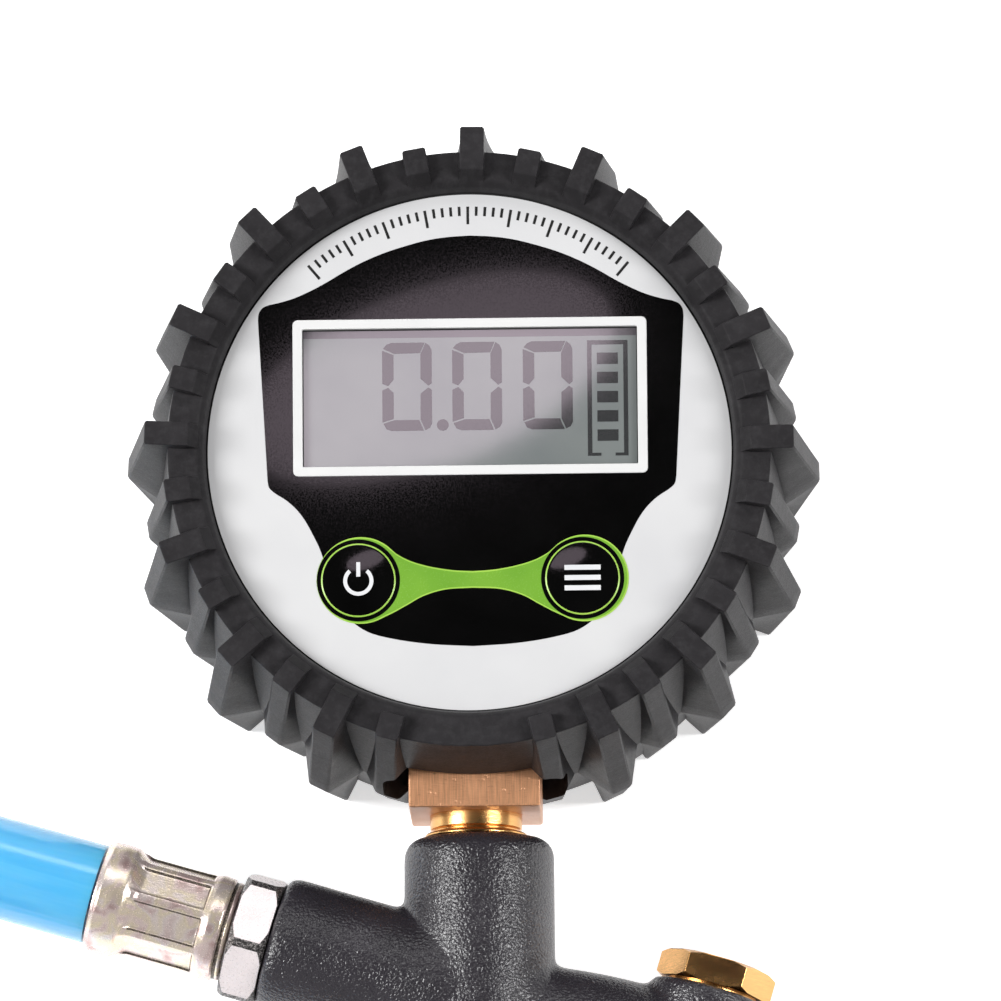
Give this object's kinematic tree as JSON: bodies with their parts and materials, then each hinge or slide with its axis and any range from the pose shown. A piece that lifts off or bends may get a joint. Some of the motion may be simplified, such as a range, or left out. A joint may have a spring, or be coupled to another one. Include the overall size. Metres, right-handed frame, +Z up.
{
  "type": "tire pressure gauge",
  "caption": "Hand-held digital tire pressure gauge: round display head in a tread-shaped rubber boot on a lever-operated inflator handle with a short blue hose and a clip-on air chuck.",
  "frame": {"origin": "On the bench under the middle of the tool's bounding box, measured without the hose and the chuck", "axes": "+Z is up from the bench and out of the dial, +Y is towards twelve o'clock on the dial, -X is the side where the hose leaves"},
  "size_m": [0.3085, 0.2101, 0.048],
  "materials": {
    "rubber": "matte moulded rubber",
    "seal": "matte",
    "case_plastic": "fine spark-eroded texture",
    "steel": "bright zinc plated",
    "face_print": "satin silver-white print with a black panel",
    "white_plastic": "satin",
    "clear": "clear polished",
    "display": "reflective grey display with dark segments",
    "board": "green solder mask",
    "button": "gloss black with a light green rim",
    "switch_plastic": "satin",
    "cell_jacket": "printed jacket, plain",
    "nickel": "nickel plated",
    "flex_film": "amber film",
    "brass": "drawn bar, brushed",
    "coating": "black wrinkle powder coat",
    "zinc": "yellow iridescent zinc plate",
    "hose": "gloss translucent blue"
  },
  "bodies": {
    "tool": {"tread_boot": "rubber", "zebra_connector": "seal", "stem_o_ring": "seal", "valve_seat_ring": "seal", "chuck_gasket": "seal", "front_case": "case_plastic", "rear_case": "case_plastic", "battery_tray": "case_plastic", "battery_door": "case_plastic", "battery_door_screw": "steel", "case_screw_1": "steel", "case_screw_2": "steel", "case_screw_3": "steel", "case_screw_4": "steel", "pressure_sensor": "steel", "valve_spring": "steel", "trigger_pin": "steel", "pin_clip": "steel", "chuck_pin": "steel", "face_label": "face_print", "display_frame": "white_plastic", "backlight_panel": "white_plastic", "inlet_seal": "white_plastic", "display_window": "clear", "lcd_module": "display", "circuit_board": "board", "power_switch": "switch_plastic", "function_switch": "switch_plastic", "battery_lower": "cell_jacket", "battery_upper": "cell_jacket", "battery_link_plate": "nickel", "battery_plus_plate": "nickel", "battery_minus_spring": "nickel", "inlet_plug": "nickel", "hose_nipple": "nickel", "chuck_tail": "nickel", "sensor_ribbon": "flex_film", "stem_block": "brass", "valve_cap": "brass", "inlet_filter": "brass", "chuck_body": "brass", "valve_body": "coating", "near_ferrule": "zinc", "far_ferrule": "zinc", "hose": "hose"},
    "trigger": {"trigger_lever": "coating"},
    "valve": {"valve_plunger": "brass"},
    "power_key": {"power_button": "button"},
    "function_key": {"function_button": "button"},
    "chuck_clip": {"chuck_lever": "steel"},
    "chuck_ram": {"chuck_piston": "brass"}
  },
  "joints": [
    {"name": "trigger_squeeze", "type": "hinge", "parent": "tool", "child": "trigger", "pos_m": [-0.03583, -0.03981, 0.024], "axis": [0, 0, 1], "range_deg": [0, 8], "stiffness_Nm_per_rad": 0.6, "springref_deg": -4.58},
    {"name": "valve_stroke", "type": "slide", "parent": "tool", "child": "valve", "axis": [0.2823, 0.9593, 0], "range_m": [0, 0.0023]},
    {"name": "power_press", "type": "slide", "parent": "tool", "child": "power_key", "axis": [0, 0, -1], "range_m": [0, 0.0005], "stiffness_N_per_m": 800, "springref_m": -0.0004},
    {"name": "function_press", "type": "slide", "parent": "tool", "child": "function_key", "axis": [0, 0, -1], "range_m": [0, 0.0005], "stiffness_N_per_m": 800, "springref_m": -0.0004},
    {"name": "chuck_clip_turn", "type": "hinge", "parent": "tool", "child": "chuck_clip", "pos_m": [-0.04775, -0.12142, 0.0206], "axis": [0, 1, 0], "range_deg": [0, 80]},
    {"name": "chuck_ram_stroke", "type": "slide", "parent": "tool", "child": "chuck_ram", "axis": [1, 0, 0], "range_m": [0, 0.0016]}
  ],
  "couplings": [
    {"joint": "valve_stroke", "follows": "trigger_squeeze", "m_per_rad": 0.016},
    {"joint": "chuck_ram_stroke", "follows": "chuck_clip_turn", "m_per_rad": 0.0011}
  ]
}
